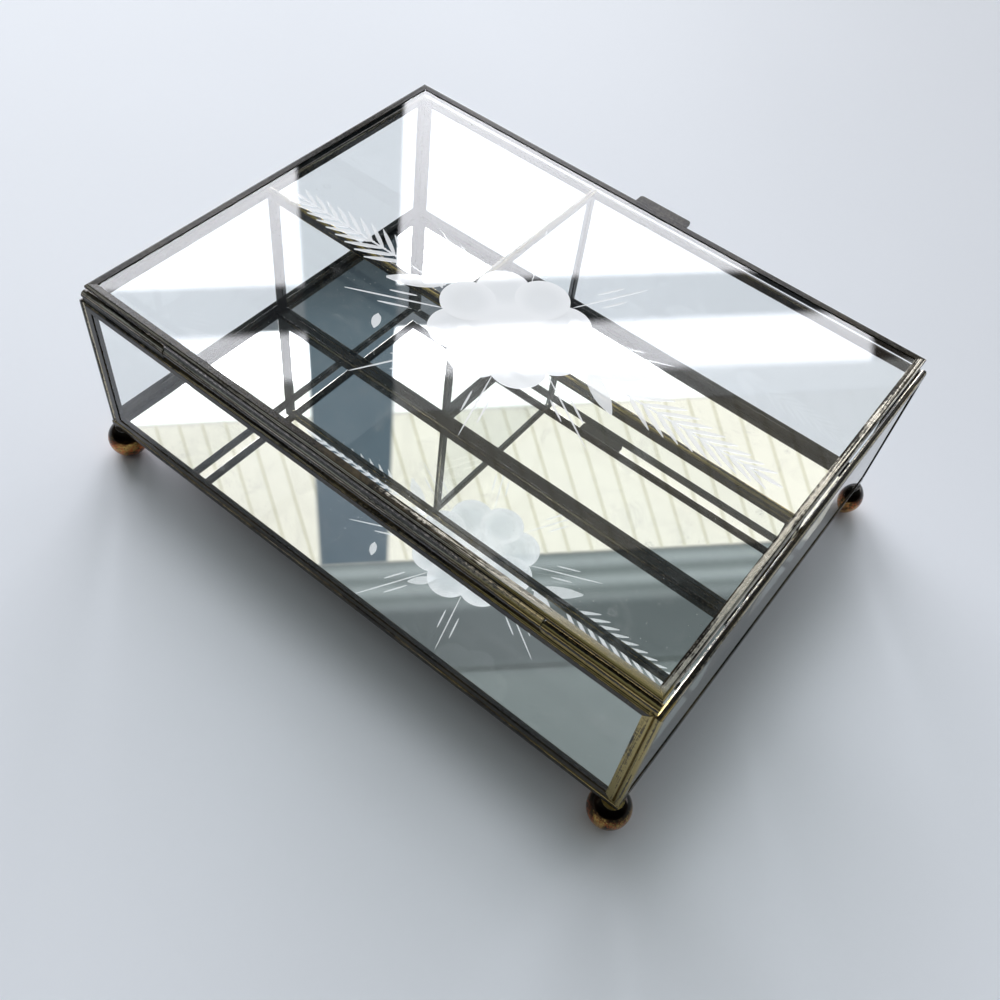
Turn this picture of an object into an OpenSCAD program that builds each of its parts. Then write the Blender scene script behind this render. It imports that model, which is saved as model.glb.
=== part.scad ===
// Glass casket box: clear panes held in folded brass channel, a hinged lid, a mirror floor,
// a long and a cross divider that make three compartments, and four ball feet.
// The origin is on the table under the middle of the box. +Z is up, the lift tab
// faces -Y and the hinge runs along the +Y side. Left and right are seen from the front.

/* [Body] */
// Width of the box over its end walls
body_w = 180; // [120:1:240]
// Depth of the box over its front and back walls
body_d = 136; // [90:1:190]
// Height of the four walls, which stand on the floor
wall_h = 46.5; // [30:0.5:90]

/* [Panes and channel] */
// Thickness of the panes in the walls, lid and long divider
glass_t = 1.3; // [1.1:0.1:3]
// Thickness of the floor's mirror pane
mirror_t = 2; // [1.5:0.1:3]
// Thickness of the folded brass
brass_t = 0.2; // [0.15:0.05:0.4]
// Height of the channel's legs on the walls, lid and floor
leg_h = 2.4; // [1.8:0.1:5]
// Radius of the channel's folded shoulders
shoulder_r = 0.8; // [0.3:0.1:0.8]
// Clearance between a pane and the channel round it
pane_fit = 0.05; // [0.05:0.05:0.2]
// Solder film between two pieces of brass that meet
film = 0.05; // [0.02:0.01:0.1]

/* [Dividers] */
// Distance of the long divider behind the middle of the box
long_divider_y = 2.8; // [-20:0.1:20]
// Height of the legs of the long divider's channel
long_leg_h = 3.4; // [2:0.1:5]
// Distance of the cross divider right of the middle of the box
cross_divider_x = 20; // [-40:1:40]
// Thickness of the cross divider's pane
cross_glass_t = 1.1; // [1:0.1:2]
// Height of the legs of the cross divider's channel
cross_leg_h = 2.5; // [1.5:0.1:3]
// Clearance at each end of a divider
divider_fit = 0.15; // [0.05:0.05:0.3]
// Gap between the dividers' caps and the closed lid
cap_gap = 1.5; // [0.2:0.05:2]

/* [Lid] */
// Distance of the lid's ends inside the end walls' outer faces
lid_end_inset = 1.8; // [0:0.1:6]
// Distance of the lid's front edge behind the front wall's outer face
lid_front_inset = 1.6; // [0:0.1:6]
// Distance of the lid's back edge inside the back wall's outer face
lid_back_inset = 1.6; // [1:0.1:3]
// Gap between the hinge tube and the closed lid over it
lid_gap = 0.15; // [0.1:0.05:0.5]
// Width of the lift tab
tab_w = 17.5; // [10:0.5:30]
// Reach of the lift tab in front of the lid
tab_reach = 3.4; // [2:0.1:4.5]
// Thickness of the lift tab
tab_t = 0.8; // [0.6:0.1:1]
// Radius of the lift tab's front corners
tab_corner_r = 1; // [0.4:0.1:1.8]
// Distance of the lift tab left of the middle of the box
tab_x = 2.3; // [-10:0.1:10]

/* [Hinge] */
// Outer diameter of the hinge tube
tube_d = 2.4; // [2.2:0.1:4]
// Diameter of the hinge pin
pin_d = 1.2; // [1:0.1:1.6]
// Radial clearance of the pin in the tube
pin_fit = 0.05; // [0.02:0.01:0.1]
// Distance of the hinge axis inside the back wall's outer face
axis_inset = 1.5; // [1.2:0.1:1.7]
// Gap between the back wall and the hinge tube over it
tube_gap = 0.65; // [0.3:0.05:0.8]
// Length of each outer knuckle
outer_knuckle_l = 30; // [15:1:45]
// Gap between two knuckles
knuckle_gap = 0.4; // [0.2:0.1:1]
// Distance of the tube's ends inside the end walls' outer faces
tube_end_inset = 1.5; // [0:0.1:5]
// Thickness of the solder seams along the tube
seam_t = 0.6; // [0.4:0.1:0.8]

/* [Feet] */
// Diameter of a ball foot
foot_d = 11.6; // [8:0.2:16]
// Depth of the flats on the top and bottom of a ball foot
foot_flat = 0.3; // [0.1:0.05:1]
// Distance of a foot's middle inside the box's outer faces
foot_inset = 2.4; // [2.2:0.1:6]
// Width of the solder collar round a foot's top flat
collar_w = 1.1; // [0.6:0.1:1.6]
// Height of the solder collar
collar_h = 0.45; // [0.3:0.05:0.6]

/* [Hidden] */
$fn = 64;
overcut = 1;

// Thickness of the channel over both legs
channel_t = glass_t + 2 * (pane_fit + brass_t);
floor_channel_t = mirror_t + 2 * (pane_fit + brass_t);
cross_channel_t = cross_glass_t + 2 * (pane_fit + brass_t);
// Depth of a channel's back, behind the edge of its pane
back_t = max(brass_t, shoulder_r);

// Heights over the table
foot_h = foot_d - 2 * foot_flat;
floor_mid_z = foot_h + floor_channel_t / 2;
wall_bottom = foot_h + floor_channel_t + film;
wall_top = wall_bottom + wall_h;
axis_z = wall_top + tube_gap + tube_d / 2;
lid_bottom = axis_z + tube_d / 2 + lid_gap;
lid_mid_z = lid_bottom + channel_t / 2;

// Inner faces and middles of the walls
inner_x = body_w / 2 - channel_t;
inner_y = body_d / 2 - channel_t;
wall_mid_x = body_w / 2 - channel_t / 2;
wall_mid_y = body_d / 2 - channel_t / 2;
long_wall_w = 2 * (inner_x - film);

// Dividers
divider_h = lid_bottom - cap_gap - wall_bottom;
long_divider_w = 2 * (inner_x - divider_fit);
cross_back_y = long_divider_y - channel_t / 2 - divider_fit;
cross_front_y = divider_fit - inner_y;
cross_w = cross_back_y - cross_front_y;
cross_mid_y = (cross_back_y + cross_front_y) / 2;

// Hinge
tube_r = tube_d / 2;
bore_r = pin_d / 2 + pin_fit;
axis_y = body_d / 2 - axis_inset;
tube_half = body_w / 2 - tube_end_inset;
outer_knuckle_x = tube_half - outer_knuckle_l;
lid_knuckle_half = outer_knuckle_x - knuckle_gap;

// Lid
lid_w = body_w - 2 * lid_end_inset;
lid_front_y = lid_front_inset - body_d / 2;
lid_back_y = body_d / 2 - lid_back_inset;
lid_d = lid_back_y - lid_front_y;

// Feet
foot_r = foot_d / 2;
foot_x = body_w / 2 - foot_inset;
foot_y = body_d / 2 - foot_inset;
foot_flat_r = sqrt(foot_r ^ 2 - (foot_h / 2) ^ 2);

// Sides of a panel, one quarter turn after another
sides = ["bottom", "right", "top", "left"];

brass = "darkgoldenrod";
clear = "lightcyan";

// Section of folded channel: its back lies on y = 0 and its legs point to +y
module channel_section(leg, thick) {
    slot_w = thick - 2 * brass_t;
    r = min(shoulder_r, thick / 2 - film);
    difference() {
        union() {
            translate([-thick / 2, r]) square([thick, leg - r]);
            translate([r - thick / 2, 0]) square([thick - 2 * r, leg]);
            for (side = [-1, 1])
                translate([side * (thick / 2 - r), r]) circle(r);
        }
        translate([-slot_w / 2, back_t]) square([slot_w, leg]);
    }
}

// Strip of channel along x, with its back on y = 0 and both ends mitred
module strip(length, leg, thick) {
    half = length / 2 - film / sqrt(2);
    color(brass) intersection() {
        rotate([0, 90, 0]) linear_extrude(length, center = true) channel_section(leg, thick);
        linear_extrude(thick + overcut, center = true)
            polygon([
                [-half - overcut, -overcut], [half + overcut, -overcut],
                [half - leg - overcut, leg + overcut], [leg + overcut - half, leg + overcut]
            ]);
    }
}

// Strip of channel on one side of a flat panel of width w that stands on y = 0
module edge(side, w, h, leg = leg_h, thick = channel_t) {
    turns = search([side], sides)[0];
    upright = side == "left" || side == "right";
    along = upright ? h : w;
    across = upright ? w : h;
    translate([0, h / 2, 0]) rotate([0, 0, 90 * turns]) translate([0, -across / 2, 0])
        strip(along, leg, thick);
}

// Pane of the same panel, inside its channel
module pane(w, h, thick = glass_t) {
    inset = back_t + pane_fit;
    translate([inset - w / 2, inset, -thick / 2]) cube([w - 2 * inset, h - 2 * inset, thick]);
}

// Places that turn a flat panel into the box's walls, floor, lid and dividers
module at_lid() {
    translate([0, lid_front_y, lid_mid_z]) children();
}

module at_floor() {
    translate([0, -body_d / 2, floor_mid_z]) children();
}

module at_front() {
    translate([0, -wall_mid_y, wall_bottom]) rotate([90, 0, 0]) children();
}

module at_back() {
    translate([0, wall_mid_y, wall_bottom]) rotate([90, 0, 0]) children();
}

module at_left() {
    translate([-wall_mid_x, 0, wall_bottom]) rotate([90, 0, 90]) children();
}

module at_right() {
    translate([wall_mid_x, 0, wall_bottom]) rotate([90, 0, 90]) children();
}

module at_long_divider() {
    translate([0, long_divider_y, wall_bottom]) rotate([90, 0, 0]) children();
}

module at_cross_divider() {
    translate([cross_divider_x, cross_mid_y, wall_bottom]) rotate([90, 0, 90]) children();
}

// Rod of radius r on the hinge axis, between two places along x
module on_axis(from_x, to_x, r) {
    translate([from_x, axis_y, axis_z]) rotate([0, 90, 0]) cylinder(h = to_x - from_x, r = r);
}

// Piece of hinge tube
module tube(from_x, to_x) {
    color(brass) difference() {
        on_axis(from_x, to_x, tube_r);
        on_axis(from_x - overcut, to_x + overcut, bore_r);
    }
}

// Solder seam that fills the gap between the back wall and the tube over it
module seam(from_x, to_x) {
    color("silver") difference() {
        translate([from_x, wall_mid_y - seam_t / 2, wall_top + film])
            cube([to_x - from_x, seam_t, axis_z - wall_top - film]);
        on_axis(from_x - overcut, to_x + overcut, tube_r + film);
    }
}

// Ball foot with a flat on top for the solder and one below to rest on
module foot(x_side, y_side) {
    color("peru") translate([x_side * foot_x, y_side * foot_y, 0]) intersection() {
        translate([0, 0, foot_h / 2]) sphere(foot_r);
        cylinder(h = foot_h, r = foot_d);
    }
}

// Solder collar between a foot and the floor's channel
module collar(x_side, y_side) {
    color("silver") translate([x_side * foot_x, y_side * foot_y, 0]) difference() {
        translate([0, 0, foot_h - collar_h])
            cylinder(h = collar_h - film, r = foot_flat_r + collar_w);
        translate([0, 0, foot_h / 2]) sphere(foot_r + film);
    }
}

module lid_glass() color(clear) at_lid() pane(lid_w, lid_d);
module lid_front_channel() at_lid() edge("bottom", lid_w, lid_d);
module lid_back_channel() at_lid() edge("top", lid_w, lid_d);
module lid_left_channel() at_lid() edge("left", lid_w, lid_d);
module lid_right_channel() at_lid() edge("right", lid_w, lid_d);

// Flat tab with rounded front corners, soldered to the lid's front channel
module lift_tab() {
    front_y = lid_front_y - film - tab_reach;
    color(brass) translate([-tab_x, front_y, lid_mid_z - tab_t / 2]) linear_extrude(tab_t) {
        translate([-tab_w / 2, tab_corner_r]) square([tab_w, tab_reach - tab_corner_r]);
        translate([tab_corner_r - tab_w / 2, 0]) square([tab_w - 2 * tab_corner_r, tab_reach]);
        for (side = [-1, 1])
            translate([side * (tab_w / 2 - tab_corner_r), tab_corner_r]) circle(tab_corner_r);
    }
}

module lid_knuckle() tube(-lid_knuckle_half, lid_knuckle_half);

// Solder seam behind the lid's back channel, down to its knuckle
module lid_seam() {
    color("silver") difference() {
        translate([-lid_knuckle_half, lid_back_y + film, axis_z])
            cube([2 * lid_knuckle_half, seam_t, lid_bottom + channel_t - shoulder_r - axis_z]);
        on_axis(-lid_knuckle_half - overcut, lid_knuckle_half + overcut, tube_r + film);
    }
}

// Strip of the wider channel on one side of the floor
module floor_edge(side) {
    at_floor() edge(side, body_w, body_d, leg_h, floor_channel_t);
}

module mirror_floor() color("gainsboro") at_floor() pane(body_w, body_d, mirror_t);
module floor_front_channel() floor_edge("bottom");
module floor_back_channel() floor_edge("top");
module floor_left_channel() floor_edge("left");
module floor_right_channel() floor_edge("right");

module front_glass() color(clear) at_front() pane(long_wall_w, wall_h);
module front_top_channel() at_front() edge("top", long_wall_w, wall_h);
module front_bottom_channel() at_front() edge("bottom", long_wall_w, wall_h);
module front_left_channel() at_front() edge("left", long_wall_w, wall_h);
module front_right_channel() at_front() edge("right", long_wall_w, wall_h);

module back_glass() color(clear) at_back() pane(long_wall_w, wall_h);
module back_top_channel() at_back() edge("top", long_wall_w, wall_h);
module back_bottom_channel() at_back() edge("bottom", long_wall_w, wall_h);
module back_left_channel() at_back() edge("left", long_wall_w, wall_h);
module back_right_channel() at_back() edge("right", long_wall_w, wall_h);

module left_glass() color(clear) at_left() pane(body_d, wall_h);
module left_top_channel() at_left() edge("top", body_d, wall_h);
module left_bottom_channel() at_left() edge("bottom", body_d, wall_h);
module left_front_channel() at_left() edge("left", body_d, wall_h);
module left_back_channel() at_left() edge("right", body_d, wall_h);

module right_glass() color(clear) at_right() pane(body_d, wall_h);
module right_top_channel() at_right() edge("top", body_d, wall_h);
module right_bottom_channel() at_right() edge("bottom", body_d, wall_h);
module right_front_channel() at_right() edge("left", body_d, wall_h);
module right_back_channel() at_right() edge("right", body_d, wall_h);

// Strip of the taller channel on one side of the long divider
module long_edge(side) {
    at_long_divider() edge(side, long_divider_w, divider_h, long_leg_h);
}

module long_divider_glass() color(clear) at_long_divider() pane(long_divider_w, divider_h);
module long_divider_cap() long_edge("top");
module long_divider_base() long_edge("bottom");
module long_divider_left_channel() long_edge("left");
module long_divider_right_channel() long_edge("right");

// Strip of the thinner channel on one side of the cross divider
module cross_edge(side) {
    at_cross_divider() edge(side, cross_w, divider_h, cross_leg_h, cross_channel_t);
}

module cross_divider_glass() {
    color(clear) at_cross_divider() pane(cross_w, divider_h, cross_glass_t);
}

module cross_divider_cap() cross_edge("top");
module cross_divider_base() cross_edge("bottom");
module cross_divider_front_channel() cross_edge("left");
module cross_divider_back_channel() cross_edge("right");

module left_knuckle() tube(-tube_half, -outer_knuckle_x);
module right_knuckle() tube(outer_knuckle_x, tube_half);
module hinge_pin() color("goldenrod") on_axis(-tube_half, tube_half, pin_d / 2);
module left_seam() seam(-tube_half, -outer_knuckle_x);
module right_seam() seam(outer_knuckle_x, tube_half);

module foot_front_left() foot(-1, -1);
module foot_front_right() foot(1, -1);
module foot_back_left() foot(-1, 1);
module foot_back_right() foot(1, 1);
module collar_front_left() collar(-1, -1);
module collar_front_right() collar(1, -1);
module collar_back_left() collar(-1, 1);
module collar_back_right() collar(1, 1);

lid_glass();
lid_front_channel();
lid_back_channel();
lid_left_channel();
lid_right_channel();
lift_tab();
lid_knuckle();
lid_seam();

mirror_floor();
floor_front_channel();
floor_back_channel();
floor_left_channel();
floor_right_channel();

front_glass();
front_top_channel();
front_bottom_channel();
front_left_channel();
front_right_channel();

back_glass();
back_top_channel();
back_bottom_channel();
back_left_channel();
back_right_channel();

left_glass();
left_top_channel();
left_bottom_channel();
left_front_channel();
left_back_channel();

right_glass();
right_top_channel();
right_bottom_channel();
right_front_channel();
right_back_channel();

long_divider_glass();
long_divider_cap();
long_divider_base();
long_divider_left_channel();
long_divider_right_channel();

cross_divider_glass();
cross_divider_cap();
cross_divider_base();
cross_divider_front_channel();
cross_divider_back_channel();

left_knuckle();
right_knuckle();
hinge_pin();
left_seam();
right_seam();

foot_front_left();
foot_front_right();
foot_back_left();
foot_back_right();
collar_front_left();
collar_front_right();
collar_back_left();
collar_back_right();
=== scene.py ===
"""Looks of the glass casket box: panes, channel, cut flower, solder, ball feet and stage."""

import math

import bpy
from bpy.props import FloatProperty, FloatVectorProperty, IntProperty, PointerProperty
from mathutils import Matrix, Vector


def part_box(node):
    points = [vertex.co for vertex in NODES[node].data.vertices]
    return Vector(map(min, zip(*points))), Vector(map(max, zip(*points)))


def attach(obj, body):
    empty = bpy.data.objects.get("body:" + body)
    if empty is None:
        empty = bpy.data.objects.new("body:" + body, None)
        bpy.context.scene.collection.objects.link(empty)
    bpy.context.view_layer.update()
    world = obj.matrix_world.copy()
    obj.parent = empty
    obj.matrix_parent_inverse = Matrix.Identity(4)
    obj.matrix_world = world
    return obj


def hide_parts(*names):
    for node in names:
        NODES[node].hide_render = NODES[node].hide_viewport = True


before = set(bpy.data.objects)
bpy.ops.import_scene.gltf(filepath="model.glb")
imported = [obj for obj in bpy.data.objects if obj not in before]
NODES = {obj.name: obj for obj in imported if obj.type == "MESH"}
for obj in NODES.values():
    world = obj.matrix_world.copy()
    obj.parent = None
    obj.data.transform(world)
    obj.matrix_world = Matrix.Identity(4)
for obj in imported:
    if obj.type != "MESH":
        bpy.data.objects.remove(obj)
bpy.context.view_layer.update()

bl_info = {
    "name": "Glass casket box",
    "version": (1, 0, 0),
    "blender": (4, 5, 0),
    "location": "View3D > Sidebar > Casket",
    "description": "Adds the looks of a glass casket box to its packed frame",
    "category": "Object",
}

MM = 0.001

WHITE = (1, 1, 1)
DUST = (0.80, 0.81, 0.80)
# Painted glow: how much more light than falls on it the frost's underside gives back
UNDERSIDE_GLOW = 1.25

# The camera's place in millimetres, its turn in degrees, and its lens in pixels of the picture
EYE = Vector((-106.32, 175.4, 255.54))
AZIMUTH, DOWN, ROLL = -59.7, 52.4, -9.66
FOCAL = 1061.49
PICTURE = 1000
SENSOR = 36


# ---------------------------------------------------------------- sizes and colours

def colour(label, value, help_text):
    """A colour property, given as it should look."""
    return FloatVectorProperty(name=label, description=help_text, subtype="COLOR", size=3,
                               min=0, max=1, default=value)


def length(label, value, help_text):
    """A length property in metres, given in millimetres."""
    return FloatProperty(name=label, description=help_text, subtype="DISTANCE", unit="LENGTH",
                         min=0, default=value * MM)


class CasketFinish(bpy.types.PropertyGroup):
    """Colours of the panes, the channel, the solder and the feet."""
    patina: colour("Patina", (0.009, 0.0068, 0.005), "Dark patina in the channel's hollows")
    brown: colour("Brown patina", (0.058, 0.042, 0.020), "Lighter patina in patches")
    grey: colour("Grey patina", (0.095, 0.098, 0.092), "Patina on the lid's far channel")
    gold: colour("Worn brass", (0.44, 0.345, 0.14), "Brass where hands have rubbed it")
    tin: colour("Tinned brass", (0.60, 0.565, 0.50), "Greyish tin under the worn patina")
    copper: colour("Copper spots", (0.62, 0.17, 0.06), "Reddish spots on the ball feet")
    ball: colour("Ball brass", (0.60, 0.38, 0.12), "Polished brass of the ball feet")
    solder: colour("Solder", (0.26, 0.25, 0.235), "Dull solder at the corners")
    glass: colour("Glass", (0.985, 0.992, 0.990), "What a pane lets through at each face")
    mirror: colour("Mirror", (0.97, 0.972, 0.965), "Silver under the floor pane")
    backing: colour("Mirror backing", (0.11, 0.058, 0.032), "Paint on the back of the silver")
    frost: colour("Frost", (0.96, 0.965, 0.975), "Cut and frosted glass at the rims")
    # Painted shade: the frost's colour in the petals' hollows, where less light falls
    frost_shaded: colour("Frost in the hollows", (0.78, 0.81, 0.825),
                      "Frosted glass towards the middle")


class CasketFlower(bpy.types.PropertyGroup):
    """Sizes of the flower, the sprays and the rays that are cut into the lid."""
    petals: IntProperty(name="Petals", description="Petals round the flower",
                        min=5, max=12, default=8)
    reach: length("Petal reach", 21.7, "From the flower's middle to a petal's tip")
    petal_width: length("Petal width", 15.0, "Diameter of one petal")
    middle_x: FloatProperty(name="Middle X", description="Flower's place along the lid",
                            subtype="DISTANCE", unit="LENGTH", default=0.5 * MM)
    middle_y: FloatProperty(name="Middle Y", description="Flower's place across the lid",
                            subtype="DISTANCE", unit="LENGTH", default=2.3 * MM)
    leaf: length("Leaf length", 10.8, "Longest small leaf of a spray")
    leaf_width: length("Leaf width", 1.2, "Widest small leaf of a spray")
    ray_width: length("Ray width", 0.42, "Width of one cut ray")
    proud: length("Frost height", 0.03, "Height of the frosted cuts over the pane")
    depth: length("Cut depth", 0.25, "Depth of the cuts in the pane")
    silver: length("Silver depth", 0.2,
                   "Apparent depth of the silver under the floor pane's top")


class CasketStage(bpy.types.PropertyGroup):
    """The table, the light and the room round the box."""
    table: colour("Table", (0.85, 0.875, 0.925), "Pale table top")
    sky: FloatProperty(name="Window light", description="Strength of the window",
                       min=0, default=6.8)
    room: FloatProperty(name="Room light", description="Strength of the room",
                        min=0, default=1.0)


# ---------------------------------------------------------------- shader graph in Python

class Wire:
    """A value in a shader graph. Python's operators on it add Math nodes."""

    def __init__(self, graph, socket):
        self.graph, self.socket = graph, socket

    def math(self, operation, *values):
        return self.graph.math(operation, self, *values)

    def __add__(self, other):
        return self.math("ADD", other)

    def __mul__(self, other):
        return self.math("MULTIPLY", other)

    __radd__, __rmul__ = __add__, __mul__

    def __sub__(self, other):
        return self.math("SUBTRACT", other)

    def __rsub__(self, other):
        return self.graph.math("SUBTRACT", other, self)

    def __truediv__(self, other):
        return self.math("DIVIDE", other)

    def __rtruediv__(self, other):
        return self.graph.math("DIVIDE", other, self)

    def __pow__(self, other):
        return self.math("POWER", other)

    def __abs__(self):
        return self.math("ABSOLUTE")

    def clamp(self):
        return self.step(0, 1, "LINEAR")

    def step(self, low, high, shape="SMOOTHSTEP"):
        """0 below low, 1 above high, smooth between. Low may be the higher one."""
        return self.graph.node("MapRange", {"interpolation_type": shape, "clamp": True},
                               {"Value": self, "From Min": low, "From Max": high})["Result"]

    def between(self, low, high, soft):
        """1 between low and high, which may be values too."""
        return (self - low).step(-soft, soft) * (high - self).step(-soft, soft)


class Made:
    """A node that a graph made: its outputs by name, as wires."""

    def __init__(self, graph, node):
        self.graph, self.node = graph, node

    def __getitem__(self, name):
        for socket in self.node.outputs:
            if socket.identifier == name or socket.name == name:
                return Wire(self.graph, socket)
        raise KeyError(name)


class Graph:
    """Builds the nodes of one material or world."""

    def __init__(self, tree):
        self.tree = tree
        tree.nodes.clear()

    def node(self, kind, settings=None, inputs=None):
        """Adds a node of a type, its settings first and then the values or links of its sockets."""
        made = self.tree.nodes.new("ShaderNode" + kind)
        for name, value in (settings or {}).items():
            setattr(made, name, value)
        for name, value in (inputs or {}).items():
            socket = made.inputs[name] if isinstance(name, int) else self.find(made, name)
            if isinstance(value, Wire):
                self.tree.links.new(value.socket, socket)
            elif socket.type == "RGBA" and len(value) == 3:
                socket.default_value = (*value, 1)
            else:
                socket.default_value = value
        return Made(self, made)

    @staticmethod
    def find(made, name):
        for socket in made.inputs:
            if socket.identifier == name:
                return socket
        return made.inputs[name]

    def math(self, operation, *values):
        """A Math node's result on wires or numbers, in their order."""
        return self.node("Math", {"operation": operation}, dict(enumerate(values)))["Value"]

    def layer(self, mask, first, second):
        """The first shader where mask is 0 and the second where it is 1."""
        return self.node("MixShader", None, {0: mask, 1: first, 2: second})["Shader"]

    def mix(self, mask, first, second):
        """The first colour where mask is 0 and the second where it is 1."""
        sockets = {"Factor_Float": mask, "A_Color": first, "B_Color": second}
        return self.node("Mix", {"data_type": "RGBA"}, sockets)["Result_Color"]

    def noise(self, place, scale, detail=3, roughness=0.55, distortion=0.0):
        return self.node("TexNoise", None, {
            "Vector": place, "Scale": scale, "Detail": detail,
            "Roughness": roughness, "Distortion": distortion})["Fac"]

    def spots(self, place, scale, size):
        """1 in small round spots of that share of a cell."""
        cells = self.node("TexVoronoi", {"feature": "F1"}, {"Vector": place, "Scale": scale})
        return cells["Distance"].step(size, size * 0.5)

    def place(self, scale=(1, 1, 1)):
        """Object coordinates in millimetres, stretched by scale."""
        here = self.node("TexCoord")["Object"]
        sizes = [1000 * s for s in scale]
        return self.node("VectorMath", {"operation": "MULTIPLY"}, {0: here, 1: sizes})["Vector"]

    def split(self, vector):
        parts = self.node("SeparateXYZ", None, {"Vector": vector})
        return parts["X"], parts["Y"], parts["Z"]

    def dot(self, vector, other):
        return self.node("VectorMath", {"operation": "DOT_PRODUCT"}, {0: vector, 1: other})["Value"]

    def bump(self, height, strength, distance):
        return self.node("Bump", None, {"Height": height, "Strength": strength,
                                        "Distance": distance * MM})["Normal"]

    def finish(self, shader):
        self.node("OutputMaterial", None, {"Surface": shader})


def toward(first, second, share):
    """A plain colour that lies that share of the way from the first to the second."""
    return tuple(a + (b - a) * share for a, b in zip(first, second))


def scaled(shade, factor):
    """A plain colour made that much brighter or darker."""
    return tuple(part * factor for part in shade)


def new_material(name):
    material = bpy.data.materials.new(name)
    material.use_nodes = True
    return material, Graph(material.node_tree)


# ---------------------------------------------------------------- materials

def here_corner(g, here):
    """1 round the corner where hands have worn the patina to gold."""
    x, y, z = g.split(here)
    return y.step(60, 66) * (0 - x).step(20, 75)


def channel_brass(name, along, wear=0.0, golden=0.0, grey=0.0, hand=0.08, top=0.0, gloss=0.30):
    """Folded brass under a dark patina, with drawn lines along it and worn shoulders.

    Wear bares the metal all over, hand near the held corner and top on faces that look up.
    Golden and grey tint the bare metal and the patina, and gloss is the patina's own.
    """
    finish = bpy.context.scene.casket_finish
    material, g = new_material(name)
    here = g.place()
    nx, ny, nz = g.split(g.node("NewGeometry")["Normal"])
    peak = abs(nx).math("MAXIMUM", abs(ny)).math("MAXIMUM", abs(nz))
    shoulder = 1 - peak.step(0.84, 0.985)
    # Faces that look up are bared to tin, more so towards the left.
    flat = nz.step(0.95, 0.995) * g.split(here)[0].step(15, -25) * top
    drawn = tuple(0.02 if axis == along else 1 for axis in "xyz")
    lines = g.noise(g.place(drawn), 1.7, 4, 0.65)
    grain = g.noise(here, 1.1, 5, 0.7)
    patch = g.noise(here, 0.07, 3, 0.55)
    corner = here_corner(g, here)
    rubbed = shoulder * 0.30 + corner * hand + flat + wear
    bare = (lines * 0.85 + grain * 0.40 + rubbed).step(0.86, 0.98)
    yellow = (corner + golden + grain * 0.35 + patch * 0.45 - flat * 2.4).step(0.40, 0.95)
    dark = g.mix((grain * 0.6 + patch * 0.6).step(0.52, 0.80), finish.patina, finish.brown)
    dark = g.mix((lines * 0.6 + grain * 0.6).step(0.50, 0.78) * grey, dark, finish.grey)
    base = g.mix(bare, dark, g.mix(yellow, finish.tin, finish.gold))
    shader = g.node("BsdfPrincipled", None, {
        "Base Color": base, "Metallic": bare, "Specular IOR Level": gloss,
        "Roughness": (0.06 + grain * 0.16 + bare * 0.08).clamp(),
        "Normal": g.bump(lines * 0.7 + grain * 0.6, 0.5, 0.07)})["BSDF"]
    g.finish(shader)
    return material


def foot_brass():
    """Ball feet: glossy brass with a brown bloom, dark specks and bare copper spots."""
    finish = bpy.context.scene.casket_finish
    material, g = new_material("foot_brass")
    here = g.place()
    bloom = g.noise(here, 0.16, 4, 0.6)
    grain = g.noise(here, 0.9, 5, 0.7, 0.8)
    crumbs = g.noise(here, 2.2, 4, 0.7)
    base = g.mix(bloom.step(0.44, 0.56), finish.ball, finish.brown)
    base = g.mix(crumbs.step(0.52, 0.58), base, finish.patina)
    base = g.mix((grain * 0.7 + crumbs * 0.4).step(0.55, 0.60), base, finish.copper)
    # The upper half is darker, with an uneven edge.
    height = g.split(here)[2]
    base = g.mix((height + grain * 6).step(9.5, 12.0), base, finish.patina)
    shader = g.node("BsdfPrincipled", None, {
        "Base Color": base, "Metallic": 0.95, "Roughness": (0.03 + grain * 0.14).clamp(),
        "Normal": g.bump(grain + crumbs * 0.5, 0.3, 0.08)})["BSDF"]
    g.finish(shader)
    return material


def solder_metal():
    """Dull lumpy solder with dark flux in its hollows."""
    finish = bpy.context.scene.casket_finish
    material, g = new_material("solder_metal")
    here = g.place()
    lumps = g.noise(here, 1.4, 4, 0.6)
    corner = here_corner(g, here)
    bare = (lumps + corner * 0.25).step(0.50, 0.72)
    base = g.mix(bare, finish.patina, g.mix(corner, finish.solder, finish.gold))
    shader = g.node("BsdfPrincipled", None, {
        "Base Color": base, "Metallic": bare, "Roughness": (0.25 + lumps * 0.3).clamp(),
        "Normal": g.bump(lumps, 0.5, 0.3)})["BSDF"]
    g.finish(shader)
    return material


def pane_glass(name, index, dusty, clear):
    """Clear flat glass: it lets the view and the light through and mirrors by its angle.

    The face that a ray enters by mirrors for both, so a pane's index is higher than that of glass.
    The floor's cover has a lower one, because the silver under it mirrors as well.
    """
    material, g = new_material(name)
    here = g.place()
    smear = g.noise(here, 0.06, 3, 0.6)
    fine = g.spots(here, 0.16, 0.035) + g.spots(here, 0.45, 0.07)
    specks = fine * g.noise(here, 0.03, 2).step(0.44, 0.60)
    scuffs = g.spots(here, 0.055, 0.11) * g.noise(here, 3.1, 4, 0.7).step(0.44, 0.66)
    cloud = g.noise(here, 0.05, 5, 0.72, 1.2).step(0.50, 0.80)
    through = g.node("BsdfTransparent", None, {"Color": clear})["BSDF"]
    gloss = g.node("BsdfPrincipled", None, {
        "Base Color": WHITE, "Metallic": 1.0,
        "Roughness": (smear * 0.02 + 0.004).clamp()})["BSDF"]
    angle = g.node("Fresnel", None, {"IOR": index})["Fac"]
    dust = g.node("BsdfPrincipled", None, {"Base Color": DUST, "Roughness": 0.9})["BSDF"]
    cover = (specks * dusty + scuffs * dusty * 0.35 + cloud * dusty * 0.10).clamp()
    enter = g.layer(cover, g.layer(angle, through, gloss), dust)
    g.finish(g.layer(g.node("NewGeometry")["Backfacing"], enter, through))
    return material


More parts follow.
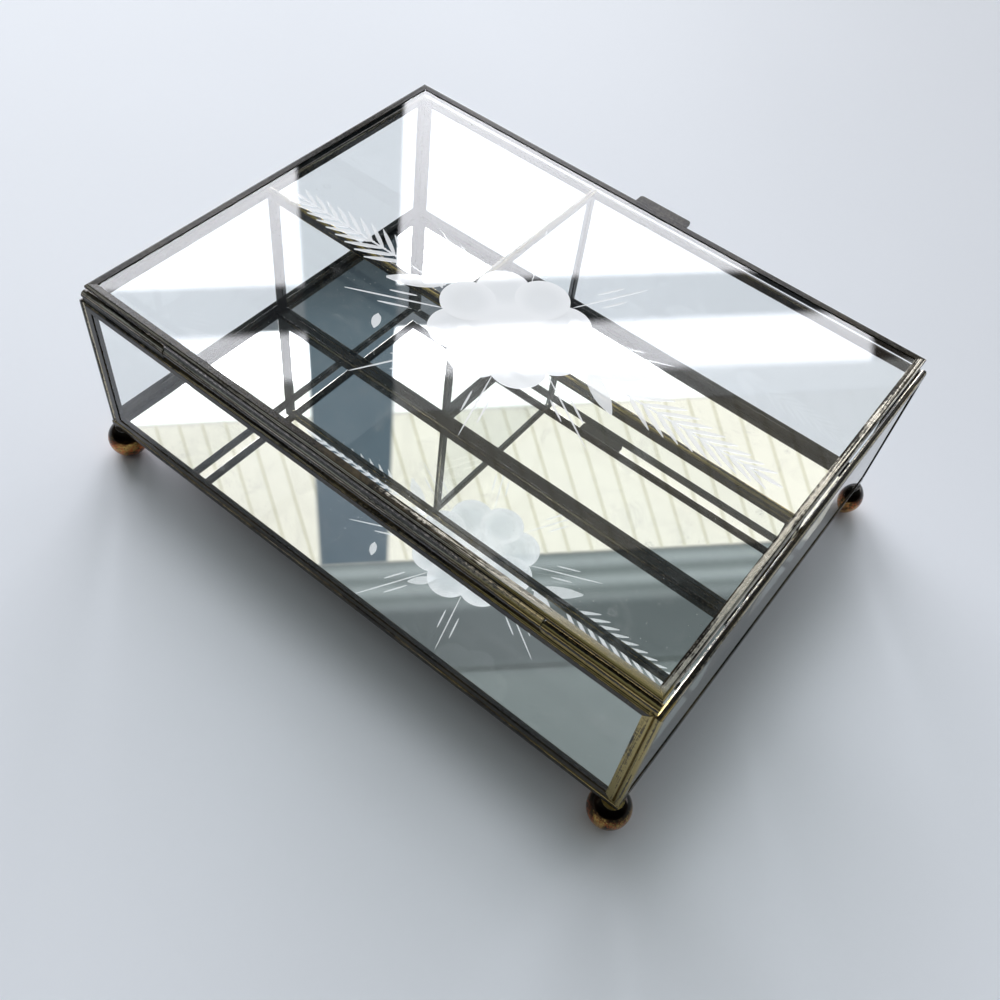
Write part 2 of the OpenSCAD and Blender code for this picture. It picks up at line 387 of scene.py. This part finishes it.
def floor_mirror():
    """Silver behind the floor pane, with faint cloudy patches, and brown paint on its back."""
    finish = bpy.context.scene.casket_finish
    material, g = new_material("floor_mirror")
    here = g.place()
    patches = g.noise(here, 0.035, 4, 0.6)
    silver = g.mix(patches.step(0.3, 0.7), finish.mirror, scaled(finish.mirror, 0.94))
    streaks = g.noise(here, 0.4, 4, 0.6).step(0.35, 0.65)
    paint = g.mix(streaks, finish.backing, scaled(finish.backing, 0.7))
    face = g.split(g.node("NewGeometry")["Normal"])[2].step(0.1, 0.4)
    rough = 0.60 - face * 0.597 + face * patches.step(0.45, 0.8) * 0.012
    g.finish(g.node("BsdfPrincipled", None, {
        "Base Color": g.mix(face, paint, silver), "Metallic": face,
        "Roughness": rough.clamp()})["BSDF"])
    return material


def petal_dish(g, here):
    """How far out a point lies in its petal: 0 in the middle and 1 at the rim.

    Every second petal lies over its neighbours.
    """
    flower = bpy.context.scene.casket_flower
    x, y, z = g.split(here)
    across, along = y - flower.middle_y / MM, x - flower.middle_x / MM
    away = (across ** 2 + along ** 2) ** 0.5
    pitch = 2 * math.pi / flower.petals
    turn = across.math("ARCTAN2", along).math("PINGPONG", pitch)
    half = flower.petal_width / 2 / MM
    out = flower.reach / MM - half

    def rim(angle):
        ahead, aside = away * angle.math("COSINE") - out, away * angle.math("SINE")
        return (ahead ** 2 + aside ** 2) ** 0.5 / half

    over, under = rim(turn), rim(pitch - turn)
    top = over.step(1.02, 0.98)
    return over * top + under.math("MINIMUM", 1) * (1 - top)


def frosted_cut(name, petals=False):
    """Cut glass: white frost that scatters light both ways and lets some of the view through, with
    a painted glow underneath and painted shade in the petals' hollows.
    """
    finish = bpy.context.scene.casket_finish
    material, g = new_material(name)
    here = g.place()
    grain = g.noise(here, 5.0, 3, 0.6)

    def ahead(shade):
        """Translucent frost with a painted glow: its colour is raised, so its underside looks
        brighter than a matt sheet's.
        """
        return g.node("BsdfTranslucent", None, {"Color": scaled(shade, UNDERSIDE_GLOW)})["BSDF"]

    white, far, height, share = finish.frost, ahead(finish.frost), grain * 0.3, 0.62 + grain * 0.30
    if petals:
        dish = petal_dish(g, here)
        # Painted light: each petal's rim is lit and its hollow shaded in the frost's colour.
        lit = (dish.step(0.35, 1.0) * 0.95 + grain * 0.1 - 0.05).clamp()
        # Painted shade: the hollows are shaded less on the top than on the underside.
        white = g.mix(lit, toward(finish.frost_shaded, finish.frost, 0.72), finish.frost)
        far = g.layer(lit, ahead(finish.frost_shaded), far)
        height = dish ** 2 * 0.6 + grain * 0.2
        share = 0.93 + lit * 0.04
    through = g.node("BsdfTransparent", None, {"Color": WHITE})["BSDF"]
    near = g.node("BsdfPrincipled", None, {
        "Base Color": white, "Roughness": 0.5, "Coat Weight": 1.0, "Coat Roughness": 0.03,
        "Coat IOR": 1.5, "Normal": g.bump(height, 0.3, 0.2)})["BSDF"]
    # The top shows the light that falls on it, and the underside the light that comes through,
    # raised by a painted glow.
    geometry = g.node("NewGeometry")
    under = g.split(geometry["Normal"])[2].step(0.5, -0.5)
    frost = g.layer(share.clamp(), through, g.layer(under * 0.9 + 0.05, near, far))
    g.finish(g.layer(geometry["Backfacing"], frost, through))
    return material


def table_top():
    """Pale smooth table, with painted shade that darkens it away from the window's side."""
    stage = bpy.context.scene.casket_stage
    material, g = new_material("table_top")
    here = g.place()
    grain = g.noise(here, 0.35, 4, 0.6)
    cloud = g.noise(here, 0.004, 3, 0.5)
    # Painted shade: the table darkens away from the window as its light falls off; the clouds and
    # grain are the table's own tone.
    far = g.dot(here, (-0.6, -0.8, 0)).step(20, 330)
    mottle_and_shade = (cloud.step(0.3, 0.7) * 0.12 + grain * 0.06 + far * 0.80).clamp()
    base = g.mix(mottle_and_shade, stage.table, scaled(stage.table, 0.79))
    g.finish(g.node("BsdfPrincipled", None, {
        "Base Color": base, "Roughness": 0.6, "Normal": g.bump(grain, 0.05, 0.2)})["BSDF"])
    return material


# ---------------------------------------------------------------- modelling helpers

def take(piece):
    """Selects one piece alone and makes it the active one."""
    bpy.ops.object.select_all(action="DESELECT")
    bpy.context.view_layer.objects.active = piece
    piece.select_set(True)


def pick(piece, kind, test):
    """Selects the vertices or faces of a piece that pass a test, and opens its mesh."""
    take(piece)
    bpy.ops.object.mode_set(mode="EDIT")
    bpy.ops.mesh.select_all(action="DESELECT")
    done()
    bpy.context.tool_settings.mesh_select_mode = (kind == "VERT", False, kind == "FACE")
    for item in {"VERT": piece.data.vertices, "FACE": piece.data.polygons}[kind]:
        item.select = test(item)
    bpy.ops.object.mode_set(mode="EDIT")


def done():
    """Closes the mesh that is open."""
    bpy.ops.object.mode_set(mode="OBJECT")


def settle(piece):
    """Moves a piece's place and turn into its mesh."""
    take(piece)
    bpy.ops.object.transform_apply(location=True, rotation=True, scale=True)


def placing(place, turn, size):
    """Scales by size, turns about Z and moves to a place."""
    return (Matrix.Translation(place) @ Matrix.Rotation(turn, 4, "Z")
            @ Matrix.Diagonal((*size, 1)))


def join(name, pieces):
    """Joins pieces into one, with its place in its mesh."""
    for piece in pieces:
        settle(piece)
    bpy.ops.object.select_all(action="DESELECT")
    for piece in pieces:
        piece.select_set(True)
    bpy.context.view_layer.objects.active = pieces[0]
    bpy.ops.object.join()
    whole = pieces[0]
    whole.name = whole.data.name = name
    whole.data.materials.clear()
    return whole


def smooth(piece, degrees):
    """Shades a piece smooth where its faces meet at less than that angle."""
    take(piece)
    bpy.ops.object.shade_smooth_by_angle(angle=math.radians(degrees))


def dress(piece, material, body):
    """Gives a piece its material and the body it rides on."""
    piece.data.materials.clear()
    piece.data.materials.append(material)
    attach(piece, body)


def heading(angle):
    """The level direction at that angle."""
    return Vector((math.cos(angle), math.sin(angle)))


def cut_blank(name, vertices):
    """A flat round blank one metre wide, from which a cut is shaped: its top is at z = 0."""
    bpy.ops.object.select_all(action="DESELECT")
    bpy.ops.mesh.primitive_circle_add(vertices=vertices, radius=0.5, fill_type="NGON")
    blank = bpy.context.object
    blank.name = name
    pick(blank, "FACE", lambda face: True)
    bpy.ops.mesh.extrude_region_move(TRANSFORM_OT_translate={"value": (0, 0, -1)})
    bpy.ops.mesh.select_all(action="SELECT")
    bpy.ops.mesh.normals_make_consistent(inside=False)
    done()
    return blank


def lay_cut(blank, middle, turn, reach, width, deep=1.0):
    """Lays a copy of a blank in the top of the lid's pane, its middle given in millimetres."""
    sizes = bpy.context.scene.casket_flower
    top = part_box("lid_glass")[1].z + sizes.proud
    place = Vector((middle.x * MM, middle.y * MM, top))
    twin = blank.copy()
    twin.data = blank.data.copy()
    bpy.context.scene.collection.objects.link(twin)
    twin.matrix_world = placing(place, turn, (reach, width, sizes.depth * deep))
    return twin


def paint_node(names, material):
    """Puts a material on every slot of those CAD nodes."""
    for name in names:
        piece = NODES[name]
        if not piece.material_slots:
            piece.data.materials.append(material)
        for slot in piece.material_slots:
            slot.material = material


def named(*ends):
    """The CAD nodes whose names end so."""
    return sorted(n for n in NODES if n.endswith(ends))


# ---------------------------------------------------------------- operators

class CasketOperator:
    """What the casket's operators share."""
    bl_options = {"REGISTER", "UNDO"}


class CASKET_OT_panes(CasketOperator, bpy.types.Operator):
    """Give the panes clear glass, and model the floor pane as glass over its silver"""
    bl_idname = "casket.panes"
    bl_label = "Panes and Mirror"

    def execute(self, context):
        clear = context.scene.casket_finish.glass
        paint_node(named("_glass"), pane_glass("pane_glass", index=1.53, dusty=0.35, clear=clear))
        low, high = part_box("mirror_floor")
        split = high.z - context.scene.casket_flower.silver
        gap = 0.01 * MM
        cover = pane_glass("mirror_cover", index=1.36, dusty=1.0, clear=WHITE)
        for name, bottom, top, material in (("mirror_silver", low.z, split, floor_mirror()),
                                            ("mirror_cover", split + gap, high.z, cover)):
            bpy.ops.object.select_all(action="DESELECT")
            bpy.ops.mesh.primitive_cube_add(size=1, location=(0, 0, (bottom + top) / 2))
            sheet = bpy.context.object
            sheet.scale = (high.x - low.x, high.y - low.y, top - bottom)
            settle(sheet)
            sheet.name = sheet.data.name = name
            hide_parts("mirror_floor")
            dress(sheet, material, "box")
        return {"FINISHED"}


class CASKET_OT_channel(CasketOperator, bpy.types.Operator):
    """Give the channel, the hinge and the tab their aged brass"""
    bl_idname = "casket.channel"
    bl_label = "Brass Channel"

    def execute(self, context):
        along = named("_top_channel", "_bottom_channel", "floor_front_channel",
                      "floor_back_channel", "long_divider_base", "_pin")
        across = [name for name in named("_top_channel", "_bottom_channel")
                  if name.startswith(("left_", "right_"))]
        across += ["floor_left_channel", "floor_right_channel", "cross_divider_base"]
        # The later rows take over pieces of the first ones.
        for pieces, name, drawn, worn in (
                (named("_channel"), "channel_up", "z", {"wear": 0.06, "golden": 0.2}),
                (along, "channel_along", "x", {"golden": 0.3}),
                (across, "channel_across", "y", {"golden": 0.2}),
                (["back_left_channel", "left_back_channel"], "near_post_brass", "z",
                 {"wear": 0.12, "golden": 0.2, "hand": 0.22}),
                (["lid_back_channel"], "lid_back_brass", "x",
                 {"wear": 0.04, "hand": 0.14, "top": 0.24}),
                (["lid_left_channel"], "lid_left_brass", "y", {"wear": 0.04, "top": 0.26}),
                (["lid_front_channel", "lift_tab"], "lid_front_brass", "x",
                 {"grey": 0.5, "gloss": 0.07}),
                (["lid_right_channel"], "lid_right_brass", "y",
                 {"wear": 0.02, "grey": 0.5, "gloss": 0.07}),
                (named("_knuckle"), "tube_brass", "x", {"wear": 0.05, "hand": 0.14}),
                (["long_divider_cap"], "long_cap_brass", "x", {"wear": 0.19, "golden": 0.75}),
                (["cross_divider_cap"], "cross_cap_brass", "y", {"wear": 0.16, "golden": 0.45})):
            paint_node(pieces, channel_brass(name, drawn, **worn))
        paint_node(named("_seam") + [n for n in NODES if n.startswith("collar_")], solder_metal())
        return {"FINISHED"}


class CASKET_OT_feet(CasketOperator, bpy.types.Operator):
    """Model the four ball feet with their flats"""
    bl_idname = "casket.feet"
    bl_label = "Ball Feet"

    # Keeps the ball just inside the solid that it stands for
    INSIDE = 0.998074

    def execute(self, context):
        brass = foot_brass()
        for name in sorted(n for n in NODES if n.startswith("foot_")):
            low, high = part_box(name)
            middle = (low + high) / 2
            radius = (high.x - low.x) / 2 * self.INSIDE
            bpy.ops.object.select_all(action="DESELECT")
            bpy.ops.mesh.primitive_uv_sphere_add(segments=48, ring_count=32, radius=radius,
                                                 location=middle)
            ball = bpy.context.object
            settle(ball)
            for height, clear_up in ((high.z - 0.0001 * MM, True), (low.z, False)):
                pick(ball, "FACE", lambda face: True)
                bpy.ops.mesh.bisect(plane_co=(0, 0, height), plane_no=(0, 0, 1), use_fill=True,
                                    clear_outer=clear_up, clear_inner=not clear_up)
                done()
            ball.name = ball.data.name = name.replace("foot_", "ball_foot_")
            smooth(ball, 40)
            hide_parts(name)
            dress(ball, brass, "box")
        return {"FINISHED"}


class CASKET_OT_flower(CasketOperator, bpy.types.Operator):
    """Cut the flower into the middle of the lid"""
    bl_idname = "casket.flower"
    bl_label = "Cut Flower"

    def execute(self, context):
        sizes = context.scene.casket_flower
        half = sizes.petal_width / 2
        middle = Vector((sizes.middle_x, sizes.middle_y, 0))
        flower = self.disc(sizes, middle, sizes.reach - half)
        for number in range(sizes.petals):
            out = heading(2 * math.pi * number / sizes.petals).to_3d() * (sizes.reach - half)
            petal = self.disc(sizes, middle + out, half)
            modifier = flower.modifiers.new("petal", "BOOLEAN")
            modifier.operation, modifier.object = "UNION", petal
            take(flower)
            bpy.ops.object.modifier_apply(modifier=modifier.name)
            bpy.data.objects.remove(petal)
        flower.name = flower.data.name = "lid_flower"
        dress(flower, frosted_cut("frosted_petals", petals=True), "lid")
        return {"FINISHED"}

    @staticmethod
    def disc(sizes, middle, radius):
        """A thin round plate in the top of the lid's pane."""
        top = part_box("lid_glass")[1].z + sizes.proud
        bpy.ops.object.select_all(action="DESELECT")
        bpy.ops.mesh.primitive_cylinder_add(vertices=72, radius=radius, depth=sizes.depth,
                                            location=(middle.x, middle.y, top - sizes.depth / 2))
        plate = bpy.context.object
        settle(plate)
        return plate


class CASKET_OT_sprays(CasketOperator, bpy.types.Operator):
    """Cut a leafy spray on each side of the flower"""
    bl_idname = "casket.sprays"
    bl_label = "Leafy Sprays"

    # Side of the flower, and on the lid in millimetres the root's Y and the tip's X and Y
    STEMS = ((-1, 1.2, 79.0, 0.0), (1, 2.3, 79.0, 2.2))
    ROOT_X = 24.0
    JOINTS = 9
    # Side of the stem, length and degrees of the two broad leaves at a root
    BROAD = ((-1, 15.0, 35), (1, 14.0, 33))
    BROAD_WIDTH = 4.4
    STEM_WIDTH = 0.42
    END_LENGTH, END_WIDTH = 7.4, 1.1
    # X, Y, degrees, length and width of the bud and the small oval beyond the petals
    LONE = ((6.6, 23.2, 47, 8.2, 3.0), (27.0, 24.5, 120, 4.6, 2.4))

    def execute(self, context):
        sizes = context.scene.casket_flower
        blank = self.blade()
        leaves = []
        for side, root_y, tip_x, tip_y in self.STEMS:
            root = Vector((side * self.ROOT_X, root_y))
            axis = Vector((side * tip_x, tip_y)) - root
            lean = math.atan2(axis.y, axis.x)
            for edge, reach, degrees in self.BROAD:
                turn = math.radians(degrees) * edge * side + (math.pi if side < 0 else 0)
                middle = root + heading(turn) * reach * 0.45
                leaves.append(lay_cut(blank, middle, turn, reach * MM, self.BROAD_WIDTH * MM))
            for number in range(self.JOINTS):
                # The leaves get shorter, narrower and closer to the stem towards its tip.
                share = number / (self.JOINTS - 1)
                joint = root + axis * (0.22 + 0.60 * share)
                size = sizes.leaf * (1 - 0.28 * share)
                width = sizes.leaf_width * (1 - 0.2 * share)
                for edge in (-1, 1):
                    turn = lean + edge * side * math.radians(33 - 11 * share)
                    middle = joint + heading(turn) * size / MM * 0.48
                    leaves.append(lay_cut(blank, middle, turn, size, width))
            leaves.append(lay_cut(blank, root + axis * 0.935, lean,
                                  self.END_LENGTH * MM, self.END_WIDTH * MM))
            leaves.append(lay_cut(blank, root + axis * 0.48, lean,
                                  axis.length * 0.86 * MM, self.STEM_WIDTH * MM))
        for x, y, degrees, reach, width in self.LONE:
            leaves.append(lay_cut(blank, Vector((x, y)), math.radians(degrees),
                                  reach * MM, width * MM))
        bpy.data.objects.remove(blank)
        sprays = join("lid_sprays", leaves)
        dress(sprays, frosted_cut("frosted_leaves"), "lid")
        return {"FINISHED"}

    @staticmethod
    def blade():
        """A blank that is pointed at both ends and widest near its root."""
        blank = cut_blank("leaf_blank", 18)
        for end, narrow, draw in ((1, 0.55, 0.10), (-1, 0.45, -0.06)):
            pick(blank, "VERT", lambda v: v.co.x * end > 0.40)
            bpy.ops.transform.resize(value=(1, narrow, 1))
            bpy.ops.transform.translate(value=(draw, 0, 0))
            done()
        return blank


class CASKET_OT_rays(CasketOperator, bpy.types.Operator):
    """Cut a group of three fine rays out from each notch between two petals"""
    bl_idname = "casket.rays"
    bl_label = "Fine Rays"

    # Where each long ray starts, its direction in degrees and its length, in millimetres
    RAYS = (
        (-6.6, 18.6, 106.5, 22.6), (7.0, 19.0, 61.0, 26.8), (17.6, 9.0, 27.0, 26.5),
        (17.4, -5.0, -25.0, 24.0), (6.4, -14.6, -64.0, 25.0), (-7.2, -15.2, 242.0, 23.0),
        (-16.5, -5.3, 205.0, 25.0), (-17.2, 9.6, 148.0, 25.0),
    )

    def execute(self, context):
        sizes = context.scene.casket_flower
        blank = cut_blank("ray_blank", 12)
        rays = []
        for x, y, degrees, reach in self.RAYS:
            turn = math.radians(degrees)
            out = heading(turn)
            aside = Vector((-out.y, out.x))
            # A long ray, and a short and wider one on each side of it
            for start, run, shift, width in ((0.0, reach, 0.0, 1.0), (8.8, 8.2, 2.5, 1.25),
                                             (7.6, 7.4, -2.5, 1.25)):
                middle = Vector((x, y)) + out * (start + run / 2) + aside * shift
                rays.append(lay_cut(blank, middle, turn, run * MM, sizes.ray_width * width, 0.6))
        bpy.data.objects.remove(blank)
        cuts = join("lid_rays", rays)
        dress(cuts, frosted_cut("frosted_rays"), "lid")
        return {"FINISHED"}


class CASKET_OT_solder(CasketOperator, bpy.types.Operator):
    """Add the solder knots at the corners of the lid and the walls"""
    bl_idname = "casket.solder"
    bl_label = "Solder Knots"

    CORNERS = ((-1, -1), (1, -1), (-1, 1), (1, 1))
    # Sizes in millimetres: length, width and height on the lid, and length and width on a wall
    LID_KNOT = (2.6, 1.5, 0.85)
    WALL_KNOT = (1.6, 0.9)

    def execute(self, context):
        metal = solder_metal()
        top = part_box("lid_left_channel")[1].z
        edge_x = (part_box("lid_left_channel")[0].x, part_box("lid_right_channel")[1].x)
        edge_y = (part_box("lid_front_channel")[0].y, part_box("lid_back_channel")[1].y)
        knots = []
        for seed, (side_x, side_y) in enumerate(self.CORNERS):
            inward = Vector((-side_x, -side_y, 0))
            corner = Vector((edge_x[side_x > 0], edge_y[side_y > 0], top - 0.45 * MM))
            knots.append(self.knot(corner + inward * 1.35 * MM, self.LID_KNOT,
                                   math.atan2(inward.y, inward.x), seed))
        self.gather("lid_solder_knots", knots, metal, "lid")
        reach_x = abs(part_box("left_top_channel")[0].x)
        reach_y = abs(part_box("front_top_channel")[0].y)
        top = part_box("left_top_channel")[1].z
        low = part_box("floor_left_channel")[0].z
        knots = []
        for seed, (side_x, side_y) in enumerate(self.CORNERS):
            inward = Vector((-side_x * 2.85, -side_y * 0.55, 0)) * MM
            for height, tall in ((top - 0.7 * MM, 1.5), (low + 3.2 * MM, 1.7)):
                corner = Vector((side_x * reach_x, side_y * reach_y, height))
                knots.append(self.knot(corner + inward, (*self.WALL_KNOT, tall), 0, seed * 7 + 3))
        self.gather("wall_solder_knots", knots, metal, "box")
        return {"FINISHED"}

    @staticmethod
    def gather(name, knots, metal, body):
        """Makes one piece of the knots that ride on a body."""
        whole = join(name, knots)
        smooth(whole, 60)
        dress(whole, metal, body)

    @staticmethod
    def knot(place, size, turn, seed):
        """One lump of solder, pressed flat and a little uneven, its size in millimetres."""
        bpy.ops.object.select_all(action="DESELECT")
        bpy.ops.mesh.primitive_ico_sphere_add(subdivisions=3, radius=0.5)
        lump = bpy.context.object
        pick(lump, "VERT", lambda v: True)
        bpy.ops.transform.vertex_random(offset=0.035, seed=seed + 1)
        done()
        pick(lump, "VERT", lambda v: v.co.z < -0.1)
        bpy.ops.transform.resize(value=(1, 1, 0.5))
        done()
        lump.matrix_world = placing(place, turn, scaled(size, MM))
        return lump


class CASKET_OT_stage(CasketOperator, bpy.types.Operator):
    """Set the table, the window light, the room and the camera"""
    bl_idname = "casket.stage"
    bl_label = "Stage and Camera"

    # The room is drawn in pixels of its mirrored view. These are its level lines: the rail's top
    # and foot, the haze's foot, the wall's top and the slats' top, at column 200, and their lean.
    LEVELS = ((288, 0.032), (338, 0.040), (384, 0.036), (424, 0.052), (572, 0.052))
    TONES = {
        "sky": (0.955, 0.965, 1.02), "backdrop": (0.86, 0.88, 0.91),
        "low": (0.27, 0.205, 0.165), "high": (0.26, 0.228, 0.205),
        "dark side": (0.055, 0.050, 0.048), "haze": (1.66, 1.69, 1.67),
        "boards": (1.11, 1.08, 0.96), "grooves": (0.90, 0.87, 0.71),
        "slats": (0.225, 0.263, 0.265), "ribs": (0.40, 0.45, 0.46),
        "gloom": (0.135, 0.157, 0.163), "gap": (0.11, 0.13, 0.13),
        "rail": (0.19, 0.21, 0.235), "post top": (0.032, 0.046, 0.060),
        "post foot": (0.115, 0.160, 0.20),
    }

    def execute(self, context):
        scene = context.scene
        scene.view_settings.view_transform = "Standard"
        scene.cycles.transparent_max_bounces = 48
        scene.cycles.max_bounces = 16
        scene.cycles.glossy_bounces = 10
        bpy.ops.object.select_all(action="DESELECT")
        bpy.ops.mesh.primitive_grid_add(x_subdivisions=8, y_subdivisions=8, size=8)
        table = context.object
        table.name = "table"
        table.data.materials.append(table_top())
        self.room(scene)
        self.camera(scene)
        return {"FINISHED"}

    @staticmethod
    def axes():
        """The camera's right, down and forward directions."""
        azimuth, down, roll = (math.radians(a) for a in (AZIMUTH, DOWN, ROLL))
        ahead = (heading(azimuth) * math.cos(down)).to_3d() - Vector((0, 0, math.sin(down)))
        right = ahead.cross(Vector((0, 0, 1))).normalized()
        low = ahead.cross(right)
        return (right * math.cos(roll) + low * math.sin(roll),
                low * math.cos(roll) - right * math.sin(roll), ahead)

    def camera(self, scene):
        right, low, ahead = self.axes()
        data = bpy.data.cameras.new("camera")
        data.sensor_width = SENSOR
        data.lens = SENSOR * FOCAL / PICTURE
        data.clip_start = 0.01
        eye = bpy.data.objects.new("camera", data)
        scene.collection.objects.link(eye)
        turn = Matrix((right, -low, -ahead)).transposed().to_4x4()
        eye.matrix_world = Matrix.Translation(EYE * MM) @ turn
        scene.camera = eye

    @staticmethod
    def light(g, shade, strength):
        """Light of that colour and strength, for one part of the room."""
        return g.node("Background", None, {"Color": shade, "Strength": strength})["Background"]

    def room(self, scene):
        """A room with one window: its sky, post and rail, a boarded wall and a slatted ceiling."""
        stage, tone = scene.casket_stage, self.TONES
        world = bpy.data.worlds.new("room")
        scene.world = world
        world.use_nodes = True
        g = Graph(world.node_tree)
        gaze = g.node("TexCoord")["Generated"]
        # The floor's mirror turns the room over, so its directions are turned over here.
        right, low, ahead = (Vector((a.x, a.y, -a.z)) for a in self.axes())
        depth = g.dot(gaze, ahead)
        safe = depth.math("MAXIMUM", 0.02)
        u, v = (g.dot(gaze, side) / safe * FOCAL + PICTURE / 2 for side in (right, low))
        front = depth.step(0.1, 0.3)
        rail_top, rail_low, haze_low, wall_top, slat_top = (
            height - (u - 200) * lean for height, lean in self.LEVELS)
        post = u.between(296 + (v - 170) * 0.062, 405 - (v - 100) * 0.038, 3.5)
        sky = (rail_top - v).step(-5, 5) + v.between(rail_low, haze_low, 6)
        # The window ends at its frame, and a weaker one stands to the right of it.
        span = ((872 - u).step(-5, 5) + u.step(1090, 1150) * 0.45) * (u + 620).step(-60, 60)
        sky = sky * span * (v + 900).step(-60, 60) * (1 - post)
        haze = v.between(haze_low, wall_top, 4)
        boards = v.between(wall_top, slat_top, 3)
        grooves = ((u - v * 0.30) / 23.5).math("FRACT").between(0.10, 0.26, 0.06)
        below = v - slat_top
        slats = below.step(-3, 3)
        ribs = (below / 19).math("FRACT").between(0.25, 0.75, 0.25) * (62 - below).step(-12, 12)
        away = g.dot(gaze, (-0.45, 0.75, 0.48)).step(-0.1, 0.6)
        shade = g.mix(g.split(gaze)[2].step(-0.2, 0.8), tone["low"], tone["high"])
        shade = g.mix(away, shade, tone["dark side"])
        for mask, part in (
                (haze, "haze"), (boards, "boards"), (boards * grooves, "grooves"),
                (slats, "slats"), (slats * ribs, "ribs"), (below.between(45, 112, 12), "gloom"),
                (below.between(108, 114, 2), "gap"), (v.between(rail_top, rail_low, 5), "rail")):
            shade = g.mix(mask * front, shade, tone[part])
        dusk = g.mix(v.step(255, 345), tone["post top"], tone["post foot"])
        shade = g.mix(post * front * (slat_top - v).step(-3, 3), shade, dusk)
        path = g.node("LightPath")
        # The window's glare in the panes is stronger than the light it gives.
        glare = (path["Is Glossy Ray"] * 0.45 + 1) * stage.sky
        lit = g.layer(sky * front, self.light(g, shade, stage.room),
                      self.light(g, tone["sky"], glare))
        seen = self.light(g, tone["backdrop"], 1.0)
        g.node("OutputWorld", None, {"Surface": g.layer(path["Is Camera Ray"], lit, seen)})


class CASKET_PT_panel(bpy.types.Panel):
    """Lists the casket's sizes, colours and steps"""
    bl_idname = "CASKET_PT_panel"
    bl_label = "Glass Casket Box"
    bl_space_type = "VIEW_3D"
    bl_region_type = "UI"
    bl_category = "Casket"

    def draw(self, context):
        layout = self.layout
        for step in STEPS:
            layout.operator(step.bl_idname)
        for group in GROUPS:
            holder = getattr(context.scene, group)
            box = layout.box()
            for name in holder.bl_rna.properties.keys():
                if name not in ("rna_type", "name"):
                    box.prop(holder, name)


STEPS = (CASKET_OT_panes, CASKET_OT_channel, CASKET_OT_feet, CASKET_OT_flower, CASKET_OT_sprays,
         CASKET_OT_rays, CASKET_OT_solder, CASKET_OT_stage)
GROUPS = {"casket_finish": CasketFinish, "casket_flower": CasketFlower, "casket_stage": CasketStage}


def register():
    for item in (*GROUPS.values(), *STEPS, CASKET_PT_panel):
        bpy.utils.register_class(item)
    for name, group in GROUPS.items():
        setattr(bpy.types.Scene, name, PointerProperty(type=group))


def unregister():
    for name in GROUPS:
        delattr(bpy.types.Scene, name)
    for item in reversed((*GROUPS.values(), *STEPS, CASKET_PT_panel)):
        bpy.utils.unregister_class(item)


def main():
    register()
    for step in STEPS:
        area, name = step.bl_idname.split(".")
        getattr(getattr(bpy.ops, area), name)()


if __name__ == "__main__":
    main()
